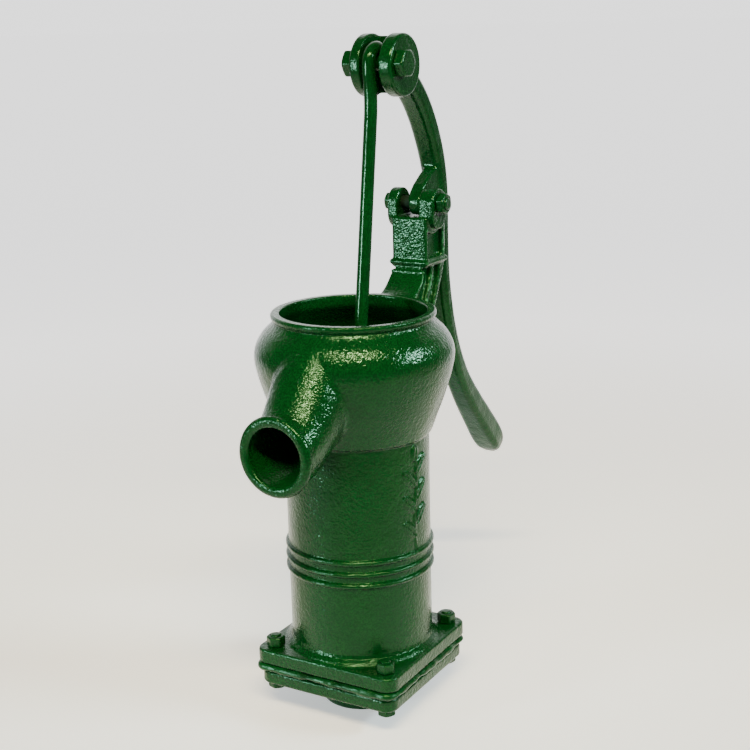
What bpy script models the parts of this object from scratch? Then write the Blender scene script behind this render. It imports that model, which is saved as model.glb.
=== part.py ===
"""Hand well pump: a pitcher pump with a hooked rod, a plunger and a foot valve.

Frame: +Z up, the barrel's axis is Z and the origin is the middle of the inlet boss's bottom face.
The spout points along -Y and the handle hangs on the +Y side.
"""

import math

import bmesh
import bpy
from mathutils import Vector

# ---- driving dimensions, metres --------------------------------------------------------------
GAP = 0.0003
SEGMENTS = 40

BARREL_R = 0.055
BORE_R = 0.0475
BOWL_R = 0.075
RIM_R = 0.0549
LIP_R = 0.0617

BOSS_R = 0.033
BOSS_DEPTH = 0.021
INLET_R = 0.0195

PLATE_HALF = 0.0614
BASE_HALF = 0.0594
PLATE_CORNER = 0.010
PLATE_THICK = 0.0105
GASKET_THICK = 0.0064
GASKET_PROUD = 0.0014
GASKET_HOLE_R = 0.030
FLANGE_THICK = 0.0115

BASE_TOP = BOSS_DEPTH + PLATE_THICK
GASKET_LOW = BASE_TOP + GAP
GASKET_TOP = GASKET_LOW + GASKET_THICK
FLANGE_LOW = GASKET_TOP + GAP
FLANGE_TOP = FLANGE_LOW + FLANGE_THICK

RIB_HEIGHTS = (0.113, 0.122, 0.131)
RIB_R = 0.0574
RIB_HALF = 0.0026
BOWL_FOOT = 0.2185
RIM_TOP = 0.3106

MOUTH_Y = -0.1124
MOUTH_Z = 0.2278
MOUTH_R = 0.0214

BOLT_PITCH = 0.049
BOLT_R = 0.0039
BOLT_HOLE_R = 0.0044
BOLT_FLATS = 0.013
BOLT_HEAD = 0.0055
BOLT_NUT = 0.0078
BOLT_TIP = 0.0094

PIVOT = Vector((0.0, 0.1003, 0.3774))
PIVOT_R = 0.0049
PIVOT_HEAD_FLATS = 0.0128
PIVOT_NUT_FLATS = 0.0152
PIVOT_HEAD = 0.0056
PIVOT_NUT = 0.0064
EAR_LEFT = -0.0200
EAR_RIGHT = 0.0208
EAR_R = 0.0115
EAR_DROP = 0.0085
BRACKET_HALF = 0.0155
BAND_HALF = 0.0175
BAND_LOW = 0.3293
BAND_TOP = 0.3335
EAR_IN_LEFT = -0.0114
EAR_IN_RIGHT = 0.0079
HUB_LEFT = -0.0018
HUB_RIGHT = 0.0074
HUB_R = 0.0097
SLOT_FLOOR = 0.3672

HEAD = Vector((0.0, 0.0552, 0.4850))
HEAD_R = 0.0232
HEAD_HALF = 0.0178
HEAD_SLOT_LEFT = -0.0092
HEAD_SLOT_RIGHT = 0.0075
HEAD_SLOT_FLOOR = 0.0640
PIN = Vector((0.0, 0.0458, 0.4867))
PIN_R = 0.0058
PIN_FLATS = 0.019

ROD_R = 0.0050
ROD_EYE = Vector((0.0, 0.0, 0.2202))
ROD_EYE_R = 0.0145
ROD_SIDE = -0.0018

PLUNGER_PIN_R = 0.0035
CUP_R = 0.0471
CAGE_RING_Z = 0.1580

HINGE = Vector((0.0, 0.0280, GASKET_LOW + 0.0020))


# ---- mesh helpers ----------------------------------------------------------------------------
def link(name, bm, material, origin=(0.0, 0.0, 0.0)):
    """Makes an object of the bmesh, with its origin at the given point."""
    bmesh.ops.recalc_face_normals(bm, faces=bm.faces)
    bmesh.ops.translate(bm, verts=bm.verts, vec=-Vector(origin))
    mesh = bpy.data.meshes.new(name)
    bm.to_mesh(mesh)
    bm.free()
    mesh.shade_smooth()
    mesh.set_sharp_from_angle(angle=math.radians(35))
    obj = bpy.data.objects.new(name, mesh)
    obj.location = origin
    bpy.context.scene.collection.objects.link(obj)
    if material:
        mesh.materials.append(material)
    return obj


def ring_faces(bm, rings, caps=True):
    """Joins rings of equal length into a tube, and closes its two ends."""
    for low, high in zip(rings, rings[1:]):
        for i in range(len(low)):
            j = (i + 1) % len(low)
            bm.faces.new((low[i], low[j], high[j], high[i]))
    if caps:
        bm.faces.new(list(reversed(rings[0])))
        bm.faces.new(rings[-1])


def turned(profile, segments=SEGMENTS, closed=True):
    """A solid turned about Z from (radius, height) points. Closed is a ring; open is capped on its ends."""
    bm = bmesh.new()
    rings = []
    for radius, height in profile:
        ring = []
        for i in range(segments):
            angle = 2 * math.pi * i / segments
            ring.append(bm.verts.new((radius * math.cos(angle), radius * math.sin(angle), height)))
        rings.append(ring)
    if closed:
        rings.append(rings[0])
    ring_faces(bm, rings, caps=not closed)
    return bm


def rod_x(radius, left, right, centre, segments=24, chamfer=0.0):
    """A cylinder along X round a point, with chamfered ends."""
    bm = bmesh.new()
    stations = [(left, radius - chamfer), (right, radius - chamfer)]
    if chamfer:
        stations[1:1] = [(left + chamfer, radius), (right - chamfer, radius)]
    rings = []
    for x, r in stations:
        ring = []
        for i in range(segments):
            angle = 2 * math.pi * i / segments
            ring.append(bm.verts.new((x, centre[1] + r * math.cos(angle), centre[2] + r * math.sin(angle))))
        rings.append(ring)
    ring_faces(bm, rings)
    return bm


def prism_x(outline, left, right):
    """A (y, z) outline extruded along X."""
    bm = bmesh.new()
    rings = [[bm.verts.new((x, y, z)) for y, z in outline] for x in (left, right)]
    ring_faces(bm, rings)
    return bm


def prism_z(outline, low, high):
    """An (x, y) outline extruded along Z."""
    bm = bmesh.new()
    rings = [[bm.verts.new((x, y, z)) for x, y in outline] for z in (low, high)]
    ring_faces(bm, rings)
    return bm


def box(low, high):
    outline = [(low[0], low[1]), (high[0], low[1]), (high[0], high[1]), (low[0], high[1])]
    return prism_z(outline, low[2], high[2])


def rounded_square(half, corner, steps=5):
    """Points of a square with rounded corners, anticlockwise."""
    points = []
    for quarter in range(4):
        middle = math.radians(45 + 90 * quarter)
        cx = math.copysign(half - corner, math.cos(middle))
        cy = math.copysign(half - corner, math.sin(middle))
        for step in range(steps + 1):
            angle = math.radians(90 * quarter + 90 * step / steps)
            points.append((cx + corner * math.cos(angle), cy + corner * math.sin(angle)))
    return points


def curve_through(points, steps):
    """Catmull-Rom curve through tuples of any length."""
    out = []
    for i in range(len(points) - 1):
        a = points[max(i - 1, 0)]
        b = points[i]
        c = points[i + 1]
        d = points[min(i + 2, len(points) - 1)]
        for step in range(steps):
            t = step / steps
            out.append(tuple(
                0.5 * (2 * q + (r - p) * t + (2 * p - 5 * q + 4 * r - s) * t * t
                       + (3 * q - p - 3 * r + s) * t ** 3)
                for p, q, r, s in zip(a, b, c, d)))
    out.append(tuple(points[-1]))
    return out


def sweep(stations, section):
    """Sweeps a section along (y, z, half width, half thickness) stations in the plane x = 0."""
    bm = bmesh.new()
    rings = []
    for i, (y, z, half_x, half_n) in enumerate(stations):
        before = stations[max(i - 1, 0)]
        after = stations[min(i + 1, len(stations) - 1)]
        along = Vector((0.0, after[0] - before[0], after[1] - before[1])).normalized()
        across = Vector((0.0, -along.z, along.y))
        ring = []
        for u, v in section:
            point = Vector((u * half_x, y, z)) + across * (v * half_n)
            ring.append(bm.verts.new(point))
        rings.append(ring)
    ring_faces(bm, rings)
    return bm


def soft_section(corner=0.5, steps=3):
    """A unit square section whose corners are rounded by the given share of its half side."""
    return rounded_square(1.0, corner, steps)


def tube(points, radius, segments=12):
    """A round bar along 3D points, with chamfered ends."""
    bm = bmesh.new()
    count = len(points)
    rings = []
    side = Vector((1.0, 0.0, 0.0))
    for i, point in enumerate(points):
        along = (points[min(i + 1, count - 1)] - points[max(i - 1, 0)]).normalized()
        across = along.cross(side).normalized()
        third = across.cross(along)
        scale = 0.75 if i in (0, count - 1) else 1.0
        ring = []
        for k in range(segments):
            angle = 2 * math.pi * k / segments
            offset = across * math.cos(angle) + third * math.sin(angle)
            ring.append(bm.verts.new(point + offset * radius * scale))
        rings.append(ring)
    ring_faces(bm, rings)
    return bm


def hexagon(bm_axis, flats, low, high, centre, turn=0.0):
    """A hexagonal prism along Z or X with its corners chamfered at both ends."""
    radius = flats / math.sqrt(3)
    chamfer = (radius - flats / 2) * 0.8
    bm = bmesh.new()
    rings = []
    stations = [(low, radius - chamfer), (low + chamfer * 0.6, radius),
                (high - chamfer * 0.6, radius), (high, radius - chamfer)]
    for height, r in stations:
        ring = []
        for i in range(6):
            angle = math.radians(60 * i) + turn
            u = r * math.cos(angle)
            v = r * math.sin(angle)
            if bm_axis == "Z":
                ring.append(bm.verts.new((centre[0] + u, centre[1] + v, height)))
            else:
                ring.append(bm.verts.new((height, centre[1] + u, centre[2] + v)))
        rings.append(ring)
    ring_faces(bm, rings)
    return bm


def combine(obj, other, operation):
    """Adds a Boolean to the object with a hidden helper."""
    other.hide_render = True
    other.hide_set(True)
    other.display_type = "WIRE"
    modifier = obj.modifiers.new(operation.title() + "_" + other.name, "BOOLEAN")
    modifier.operation = operation
    modifier.solver = "EXACT"
    modifier.object = other


def add(obj, name, bm):
    combine(obj, link(name, bm, None), "UNION")


def cut(obj, name, bm):
    combine(obj, link(name, bm, None), "DIFFERENCE")


def material(name, colour, roughness, metallic=0.0):
    made = bpy.data.materials.new(name)
    made.use_nodes = True
    shader = made.node_tree.nodes["Principled BSDF"]
    shader.inputs["Base Color"].default_value = (*colour, 1.0)
    shader.inputs["Roughness"].default_value = roughness
    shader.inputs["Metallic"].default_value = metallic
    return made


# ---- body casting ----------------------------------------------------------------------------
def body_outline():
    """Outer (radius, height) points of the barrel and the bowl, from the flange up to the rim."""
    outline = [(BARREL_R, FLANGE_LOW + 0.004), (BARREL_R + 0.0042, FLANGE_TOP - 0.001),
               (BARREL_R + 0.0035, FLANGE_TOP + 0.0022), (BARREL_R + 0.0008, FLANGE_TOP + 0.0045),
               (BARREL_R, FLANGE_TOP + 0.0075)]
    for height in RIB_HEIGHTS:
        outline += [(BARREL_R, height - RIB_HALF), (RIB_R, height - RIB_HALF * 0.45),
                    (RIB_R, height + RIB_HALF * 0.45), (BARREL_R, height + RIB_HALF)]
    outline += [(BARREL_R, BOWL_FOOT - 0.0015), (0.0575, BOWL_FOOT + 0.001)]
    bowl = [(0.0575, BOWL_FOOT + 0.001), (0.0617, 0.2310), (0.0677, 0.2475), (0.0725, 0.2635),
            (BOWL_R, 0.2770), (0.0734, 0.2865), (0.0685, 0.2950), (0.0620, 0.3015),
            (0.0600, 0.3045)]
    outline += curve_through(bowl, 2)[1:]
    outline += [(LIP_R, 0.3072), (LIP_R, 0.3096), (LIP_R - 0.0012, RIM_TOP)]
    return outline


def cavity_outline():
    """Inner (radius, height) points, from below the flange up past the rim."""
    bowl = [(BORE_R, 0.2235), (0.0532, 0.2290), (0.0598, 0.2410), (0.0650, 0.2580),
            (0.0684, 0.2750), (0.0660, 0.2860), (0.0600, 0.2955), (0.0556, 0.3020),
            (RIM_R, 0.3075)]
    return [(BORE_R, FLANGE_LOW - 0.002)] + bowl + [(RIM_R, RIM_TOP + 0.002)]


def upright_loft(stations, segments):
    """Lofts upright ellipses along -Y from (y, centre height, half width, half height) stations."""
    bm = bmesh.new()
    rings = []
    for y, z, half_x, half_z in stations:
        ring = []
        for i in range(segments):
            angle = 2 * math.pi * i / segments
            ring.append(bm.verts.new((half_x * math.cos(angle), y, z + half_z * math.sin(angle))))
        rings.append(ring)
    ring_faces(bm, rings)
    return bm


def spout_outer():
    """The tapered neck, steep at the bowl and level at the mouth, and its rolled lip."""
    neck = [(-0.0450, 0.2700, 0.0300, 0.0420), (-0.0600, 0.2610, 0.0300, 0.0430),
            (-0.0748, 0.2478, 0.0285, 0.0407), (-0.0850, 0.2383, 0.0270, 0.0362),
            (-0.0950, 0.2312, 0.0257, 0.0300), (-0.1020, 0.2284, 0.0250, 0.0262)]
    lip = [(-0.1045, 0.0254), (-0.1060, 0.0285), (-0.1082, 0.0297), (-0.1110, 0.0287), (MOUTH_Y, 0.0268)]
    stations = curve_through(neck, 2) + [(y, MOUTH_Z, r, r) for y, r in lip]
    return upright_loft(stations, 28)


def spout_bore():
    """The water way, from inside the bowl out past the mouth."""
    stations = [(-0.0400, 0.2780, 0.0215, 0.0320), (-0.0600, 0.2600, 0.0215, 0.0320),
                (-0.0748, 0.2475, 0.0213, 0.0305), (-0.0850, 0.2385, 0.0210, 0.0275),
                (-0.0950, 0.2318, 0.0208, 0.0232), (-0.1040, 0.2283, 0.0209, 0.0212),
                (-0.1090, MOUTH_Z, MOUTH_R - 0.0002, MOUTH_R - 0.0002),
                (MOUTH_Y - 0.0030, MOUTH_Z, MOUTH_R, MOUTH_R)]
    return upright_loft(stations, 28)


def bracket_outline():
    """Side outline of the fulcrum bracket below its ears, (y, z)."""
    front = curve_through([(0.0560, 0.3075), (0.0680, 0.3103), (0.0775, 0.3165),
                           (0.0842, 0.3240), (0.0872, 0.3320)], 3)
    back = curve_through([(0.1195, 0.3420), (0.1185, 0.3310), (0.1130, 0.3160), (0.1020, 0.2960),
                          (0.0880, 0.2760), (0.0740, 0.2600), (0.0620, 0.2500)], 2)
    top = [(0.0872, 0.3655), (0.0905, 0.3690), (0.1195, 0.3690)]
    inside = [(0.0560, 0.2500)]
    return front + top + back + inside


def ear_outline():
    """Side outline of an ear: a boss with a round top and a round foot."""
    points = []
    for step in range(13):
        angle = math.pi - math.pi * step / 12
        points.append((PIVOT.y + EAR_R * math.cos(angle), PIVOT.z + EAR_R * math.sin(angle)))
    for step in range(13):
        angle = -math.pi * step / 12
        points.append((PIVOT.y + EAR_R * math.cos(angle), PIVOT.z - EAR_DROP + EAR_R * math.sin(angle)))
    return points


def groove_outline(front, back):
    """Outline of one flute on the bracket's side, between two (y, z) edges."""
    return curve_through(front, 3) + list(reversed(curve_through(back, 3)))


def pump_body(iron):
    outline = body_outline()
    body = link("pump_body", turned(outline, closed=False), iron)
    add(body, "flange_block", prism_z(rounded_square(PLATE_HALF, PLATE_CORNER), FLANGE_LOW, FLANGE_TOP))
    add(body, "spout_outside", spout_outer())
    add(body, "bracket_block", prism_x(bracket_outline(), -BRACKET_HALF, BRACKET_HALF))
    add(body, "ears_block", prism_x(ear_outline(), EAR_LEFT, EAR_RIGHT))
    for side in (-1, 1):
        name = "left" if side < 0 else "right"
        ends = sorted((side * (BRACKET_HALF - 0.0020), side * BAND_HALF))
        add(body, "bracket_band_" + name, box((ends[0], 0.0862, BAND_LOW), (ends[1], 0.1204, BAND_TOP)))
    add(body, "bracket_band_front", box((-BAND_HALF, 0.0850, BAND_LOW), (BAND_HALF, 0.0890, BAND_TOP)))
    cut(body, "body_cavity", turned(cavity_outline(), closed=False))
    cut(body, "spout_inside", spout_bore())
    cut(body, "fulcrum_slot", box((EAR_IN_LEFT, 0.07, SLOT_FLOOR), (EAR_IN_RIGHT, 0.14, 0.40)))
    cut(body, "fulcrum_hole", rod_x(PIVOT_R + 0.0003, -0.03, 0.03, PIVOT))
    flute_a = groove_outline([(0.0870, 0.3275), (0.0815, 0.3170), (0.0690, 0.3050)],
                             [(0.0950, 0.3275), (0.0925, 0.3170), (0.0840, 0.3000)])
    flute_b = groove_outline([(0.1000, 0.3275), (0.0970, 0.3150), (0.0870, 0.2960)],
                             [(0.1085, 0.3275), (0.1065, 0.3160), (0.0975, 0.2960)])
    for side in (-1, 1):
        ends = sorted((side * 0.0118, side * 0.03))
        name = "left" if side < 0 else "right"
        cut(body, "pocket_" + name, box((ends[0], 0.0905, 0.3350), (ends[1], 0.1145, 0.3540)))
        cut(body, "flute_a_" + name, prism_x(flute_a, *ends))
        cut(body, "flute_b_" + name, prism_x(flute_b, *ends))
    for i, (x, y) in enumerate(bolt_places()):
        cut(body, "flange_hole_%d" % i, drilled(x, y, BOLT_HOLE_R, FLANGE_LOW - 0.002, FLANGE_TOP + 0.002))
    return body


def drilled(x, y, radius, low, high, segments=20):
    outline = [(x + radius * math.cos(2 * math.pi * i / segments),
                y + radius * math.sin(2 * math.pi * i / segments)) for i in range(segments)]
    return prism_z(outline, low, high)


def bolt_places():
    return [(-BOLT_PITCH, -BOLT_PITCH), (BOLT_PITCH, -BOLT_PITCH),
            (BOLT_PITCH, BOLT_PITCH), (-BOLT_PITCH, BOLT_PITCH)]


# ---- base, gasket and foot valve -------------------------------------------------------------
def base_casting(iron):
    outline = rounded_square(BASE_HALF, PLATE_CORNER)
    base = link("base_casting", prism_z(outline, BOSS_DEPTH, BASE_TOP), iron)
    boss = turned([(BOSS_R - 0.0015, 0.0), (BOSS_R, 0.0015), (BOSS_R, BOSS_DEPTH - 0.003),
                   (BOSS_R + 0.003, BOSS_DEPTH + 0.001)], 36, closed=False)
    add(base, "inlet_boss", boss)
    bore = turned([(INLET_R + 0.003, -0.002), (INLET_R + 0.001, 0.0005), (INLET_R - 0.0005, 0.0025),
                   (INLET_R - 0.0005, BASE_TOP + 0.002)], 36, closed=False)
    cut(base, "inlet_bore", bore)
    for i, (x, y) in enumerate(bolt_places()):
        cut(base, "base_hole_%d" % i, drilled(x, y, BOLT_HOLE_R, BOSS_DEPTH - 0.002, BASE_TOP + 0.002))
    return base


def valve_gasket(leather):
    half = PLATE_HALF + GASKET_PROUD
    outline = rounded_square(half, PLATE_CORNER)
    gasket = link("valve_gasket", prism_z(outline, GASKET_LOW, GASKET_TOP), leather)
    cut(gasket, "gasket_window", drilled(0, 0, GASKET_HOLE_R, GASKET_LOW - 0.002, GASKET_TOP + 0.002, 36))
    for i, (x, y) in enumerate(bolt_places()):
        hole = drilled(x, y, BOLT_HOLE_R, GASKET_LOW - 0.002, GASKET_TOP + 0.002)
        cut(gasket, "gasket_hole_%d" % i, hole)
    return gasket


def flap_outline():
    points = []
    for i in range(31):
        angle = math.radians(110 + 320 * i / 30)
        points.append((0.0265 * math.cos(angle), 0.0265 * math.sin(angle)))
    return points + [(0.0080, 0.0272), (-0.0080, 0.0272)]


def foot_valve(leather, iron, steel):
    low = GASKET_LOW
    top = low + 0.0040
    flap = link("foot_valve_flap", prism_z(flap_outline(), low, top), leather, HINGE)
    cut(flap, "flap_hole", drilled(0, 0, 0.0035, low - 0.002, top + 0.002))
    weight_low = top + GAP
    weight = turned([(0.0035, weight_low), (0.0185, weight_low), (0.0195, weight_low + 0.0015),
                     (0.0185, weight_low + 0.0045), (0.0120, weight_low + 0.0075),
                     (0.0035, weight_low + 0.0080)], 32)
    weight_top = weight_low + 0.0080
    link("foot_valve_weight", weight, iron, HINGE)
    head_top = low - GAP
    screw = turned([(0.0045, head_top - 0.0035), (0.0062, head_top - 0.0028), (0.0062, head_top),
                    (0.0031, head_top), (0.0031, weight_top + 0.0072), (0.0024, weight_top + 0.0080)],
                   24, closed=False)
    link("foot_valve_screw", screw, steel, HINGE)
    nut_shape = hexagon("Z", 0.010, weight_top + GAP, weight_top + 0.0053, (0, 0))
    nut = link("foot_valve_nut", nut_shape, steel, HINGE)
    cut(nut, "foot_nut_hole", drilled(0, 0, 0.0034, weight_top - 0.002, weight_top + 0.008))


# ---- fasteners -------------------------------------------------------------------------------
def flange_bolts(steel):
    head_top = BOSS_DEPTH - GAP
    nut_low = FLANGE_TOP + GAP
    nut_high = nut_low + BOLT_NUT
    for i, (x, y) in enumerate(bolt_places()):
        number = i + 1
        turn = math.radians(12 + 17 * i)
        bolt = link("flange_bolt_%d" % number,
                    hexagon("Z", BOLT_FLATS, head_top - BOLT_HEAD, head_top, (x, y), turn), steel)
        shank = drilled(x, y, BOLT_R, head_top - 0.002, FLANGE_TOP + BOLT_TIP, 16)
        add(bolt, "bolt_shank_%d" % number, shank)
        nut = link("flange_nut_%d" % number,
                   hexagon("Z", BOLT_FLATS, nut_low, nut_high, (x, y), math.radians(25 * i)), steel)
        thread = drilled(x, y, BOLT_R + GAP, nut_low - 0.002, nut_high + 0.002, 16)
        cut(nut, "nut_thread_%d" % number, thread)


def head_bolt(steel):
    """The pin that the rod hangs on: its head on the +X side."""
    face = HEAD_HALF + GAP
    bolt = link("head_bolt", hexagon("X", PIN_FLATS, face, face + 0.0078, PIN), steel, PIN)
    add(bolt, "head_bolt_shank", rod_x(PIN_R, -0.0285, face + 0.0020, PIN, 20, 0.0006))


def fulcrum_bolt(steel):
    """The handle's pivot: its small head on the -X side and its nut on the +X side."""
    face = EAR_LEFT - GAP
    head = hexagon("X", PIVOT_HEAD_FLATS, face - PIVOT_HEAD, face, PIVOT, 0.3)
    bolt = link("fulcrum_bolt", head, steel, PIVOT)
    tip = EAR_RIGHT + GAP + PIVOT_NUT + 0.0012
    add(bolt, "fulcrum_bolt_shank", rod_x(PIVOT_R, face - 0.0020, tip, PIVOT, 20, 0.0006))


def cross_nut(name, flats, radius, low, thick, centre, steel, turn):
    """A nut on a bolt along X, from x = low to x = low + thick."""
    nut = link(name, hexagon("X", flats, low, low + thick, centre, turn), steel, centre)
    cut(nut, name + "_thread", rod_x(radius + GAP, low - 0.0020, low + thick + 0.0020, centre, 20))


# ---- handle ----------------------------------------------------------------------------------
def handle_stations():
    """(y, z, half width, half thickness) from the head down to the paddle end."""
    return [(0.0680, 0.4850, 0.0080, 0.0080), (0.0860, 0.4715, 0.0080, 0.0080),
            (0.1014, 0.4566, 0.0080, 0.0073),
            (0.1130, 0.4405, 0.0080, 0.0070), (0.1217, 0.4242, 0.0080, 0.0069),
            (0.1283, 0.4078, 0.0080, 0.0069), (0.1328, 0.3890, 0.0085, 0.0070),
            (0.1346, 0.3660, 0.0090, 0.0070), (0.1348, 0.3410, 0.0090, 0.0070),
            (0.1360, 0.3160, 0.0090, 0.0070), (0.1398, 0.2930, 0.0090, 0.0070),
            (0.1462, 0.2680, 0.0090, 0.0071), (0.1562, 0.2430, 0.0090, 0.0074),
            (0.1695, 0.2185, 0.0094, 0.0082), (0.1871, 0.1955, 0.0102, 0.0094),
            (0.2062, 0.1740, 0.0112, 0.0102), (0.2205, 0.1580, 0.0120, 0.0106),
            (0.2293, 0.1480, 0.0122, 0.0101), (0.2345, 0.1414, 0.0110, 0.0088),
            (0.2374, 0.1365, 0.0082, 0.0064), (0.2388, 0.1342, 0.0042, 0.0032)]


def hub_web_outline():
    """Side outline of the web between the hub and the bar, (y, z)."""
    return [(0.1003, 0.3680), (0.1195, 0.3680), (0.1310, 0.3560), (0.1370, 0.3800),
            (0.1300, 0.4080), (0.1235, 0.4040), (0.1127, 0.3990), (0.1010, 0.3915),
            (0.0955, 0.3862), (0.0920, 0.3800)]


def handle(iron):
    bar = link("handle", sweep(curve_through(handle_stations(), 2), soft_section(0.5, 3)), iron, PIVOT)
    add(bar, "head_drum", rod_x(HEAD_R, -HEAD_HALF, HEAD_HALF, HEAD, 40, 0.0010))
    add(bar, "hub_drum", rod_x(HUB_R, HUB_LEFT, HUB_RIGHT, PIVOT, 28))
    add(bar, "hub_web", prism_x(hub_web_outline(), HUB_LEFT - 0.0016, HUB_RIGHT))
    cut(bar, "head_slot", box((HEAD_SLOT_LEFT, 0.0200, 0.4500), (HEAD_SLOT_RIGHT, HEAD_SLOT_FLOOR, 0.5200)))
    cut(bar, "head_hole", rod_x(PIN_R + GAP, -0.03, 0.03, PIN))
    cut(bar, "hub_hole", rod_x(PIVOT_R + 0.0004, -0.02, 0.02, PIVOT))
    return bar


# ---- rod and plunger -------------------------------------------------------------------------
def arc_points(centre, radius, start, end, steps):
    """Points of an arc in a plane of constant x, angles in degrees from +Y towards +Z."""
    points = []
    for step in range(steps + 1):
        angle = math.radians(start + (end - start) * step / steps)
        y = centre.y + radius * math.cos(angle)
        z = centre.z + radius * math.sin(angle)
        points.append(Vector((0.0, y, z)))
    return points


def rod_points():
    """Centre line of the bent bar: round the lower eye, up the run and over the head pin."""
    eye = arc_points(ROD_EYE, ROD_EYE_R, 30, -230, 18)
    neck = [Vector((0.0, -0.0005, 0.2385)), Vector((0.0, 0.0029, 0.2480))]
    run = [(0.0029, 0.2480), (0.0157, 0.3227), (0.0258, 0.3880), (0.0338, 0.4400), (0.0358, 0.4560),
           (0.0357, 0.4700), (0.0345, 0.4800)]
    run = [Vector((0.0, y, z)) for y, z in curve_through(run, 2)[1:]]
    hook = arc_points(PIN, PIN_R + GAP + ROD_R, 178, -15, 12)
    points = eye + neck + run + hook
    for point in points:
        share = (point.z - ROD_EYE.z) / (PIN.z - ROD_EYE.z)
        point.x = ROD_SIDE * min(max(share, 0.0), 1.0)
    return points


def plunger(iron, brass, leather, steel):
    ring_low = CAGE_RING_Z
    ring_top = ring_low + 0.008
    cage = link("plunger_cage",
                turned([(0.0223, ring_low), (0.0438, ring_low), (0.0438, ring_top - 0.001),
                        (0.0428, ring_top), (0.0223, ring_top)], 36), iron, ROD_EYE)
    arch_top = 0.1925
    arch_low = 0.1855
    legs = [(-0.033, ring_low + 0.004), (-0.033, arch_top - 0.0085), (-0.025, arch_top), (0.025, arch_top),
            (0.033, arch_top - 0.0085), (0.033, ring_low + 0.004), (0.026, ring_low + 0.004),
            (0.026, arch_low - 0.0045), (0.021, arch_low), (-0.021, arch_low), (-0.026, arch_low - 0.0045),
            (-0.026, ring_low + 0.004)]
    add(cage, "cage_arch", prism_y(legs, -0.007, 0.007))
    for side in (-1, 1):
        ends = sorted((side * 0.0062, side * 0.0112))
        lug = [(-0.0068, arch_low + 0.0010), (0.0068, arch_low + 0.0010), (0.0068, 0.2240),
               (0.0040, 0.2282), (-0.0040, 0.2282), (-0.0068, 0.2240)]
        add(cage, "cage_lug_%d" % (side + 1), prism_x(lug, *ends))
    cut(cage, "cage_pin_hole", rod_x(PLUNGER_PIN_R + GAP, -0.02, 0.02, ROD_EYE, 16))
    pin = rod_x(PLUNGER_PIN_R, -0.0150, 0.0150, ROD_EYE, 16, 0.0006)
    link("plunger_pin", pin, steel, ROD_EYE)
    cup = [(0.0226, ring_low - 0.0033), (CUP_R - 0.0020, ring_low - 0.0033), (CUP_R, ring_low - 0.0010),
           (CUP_R, ring_low + 0.0120), (0.0456, ring_low + 0.0125), (0.0443, ring_low - GAP),
           (0.0226, ring_low - GAP)]
    link("cup_leather", turned(cup, 36), leather, ROD_EYE)
    seat_low = ring_low - 0.0110
    seat_top = ring_low + 0.0060
    follower = [(0.0165, seat_low), (0.0400, seat_low), (0.0425, seat_low + 0.0020),
                (0.0425, ring_low - 0.0033 - GAP), (0.0220, ring_low - 0.0033 - GAP),
                (0.0220, seat_top), (0.0185, seat_top), (0.0165, seat_top - 0.0020)]
    link("plunger_follower", turned(follower, 36), brass, ROD_EYE)
    valve_low = seat_top + GAP
    stem = turned([(0.0150, valve_low - 0.0110), (0.0150, valve_low), (0.0205, valve_low),
                   (0.0205, valve_low + 0.0030), (0.0120, valve_low + 0.0050),
                   (0.0040, valve_low + 0.0055)], 32, closed=False)
    valve = link("plunger_valve", stem, brass, ROD_EYE)
    for i in range(3):
        angle = math.radians(90 + 120 * i)
        cut(valve, "valve_gap_%d" % i,
            drilled(0.0125 * math.cos(angle), 0.0125 * math.sin(angle), 0.0088,
                    valve_low - 0.0120, valve_low - 0.0006, 20))


def prism_y(outline, front, back):
    """An (x, z) outline extruded along Y."""
    bm = bmesh.new()
    rings = [[bm.verts.new((x, y, z)) for x, z in outline] for y in (front, back)]
    ring_faces(bm, rings)
    return bm


# ---- the whole pump --------------------------------------------------------------------------
def clear_scene():
    for obj in list(bpy.data.objects):
        bpy.data.objects.remove(obj)


def main():
    clear_scene()
    enamel = material("green_enamel", (0.012, 0.110, 0.036), 0.28)
    leather = material("green_painted_leather", (0.012, 0.100, 0.034), 0.42)
    valve_leather = material("valve_leather", (0.160, 0.085, 0.040), 0.75)
    iron = material("bare_cast_iron", (0.060, 0.058, 0.056), 0.62, 0.7)
    brass = material("cast_brass", (0.520, 0.350, 0.120), 0.38, 1.0)
    steel = material("plain_steel", (0.330, 0.330, 0.320), 0.42, 1.0)
    pump_body(enamel)
    base_casting(enamel)
    valve_gasket(leather)
    foot_valve(valve_leather, iron, steel)
    flange_bolts(enamel)
    fulcrum_bolt(enamel)
    nut_turn = math.radians(40)
    cross_nut("fulcrum_nut", PIVOT_NUT_FLATS, PIVOT_R, EAR_RIGHT + GAP, PIVOT_NUT, PIVOT, enamel, nut_turn)
    handle(enamel)
    head_bolt(enamel)
    cross_nut("head_nut", PIN_FLATS, PIN_R, -HEAD_HALF - GAP - 0.0084, 0.0084, PIN, enamel, 0.0)
    link("pump_rod", tube(rod_points(), ROD_R, 12), enamel, PIN)
    plunger(iron, brass, valve_leather, steel)


main()
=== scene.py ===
"""The looks of a hand well pump: enamelled sand castings, painted fasteners, leather and brass inside."""

import math

import bmesh
import bpy
import numpy as np
from mathutils import Matrix, Vector


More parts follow.
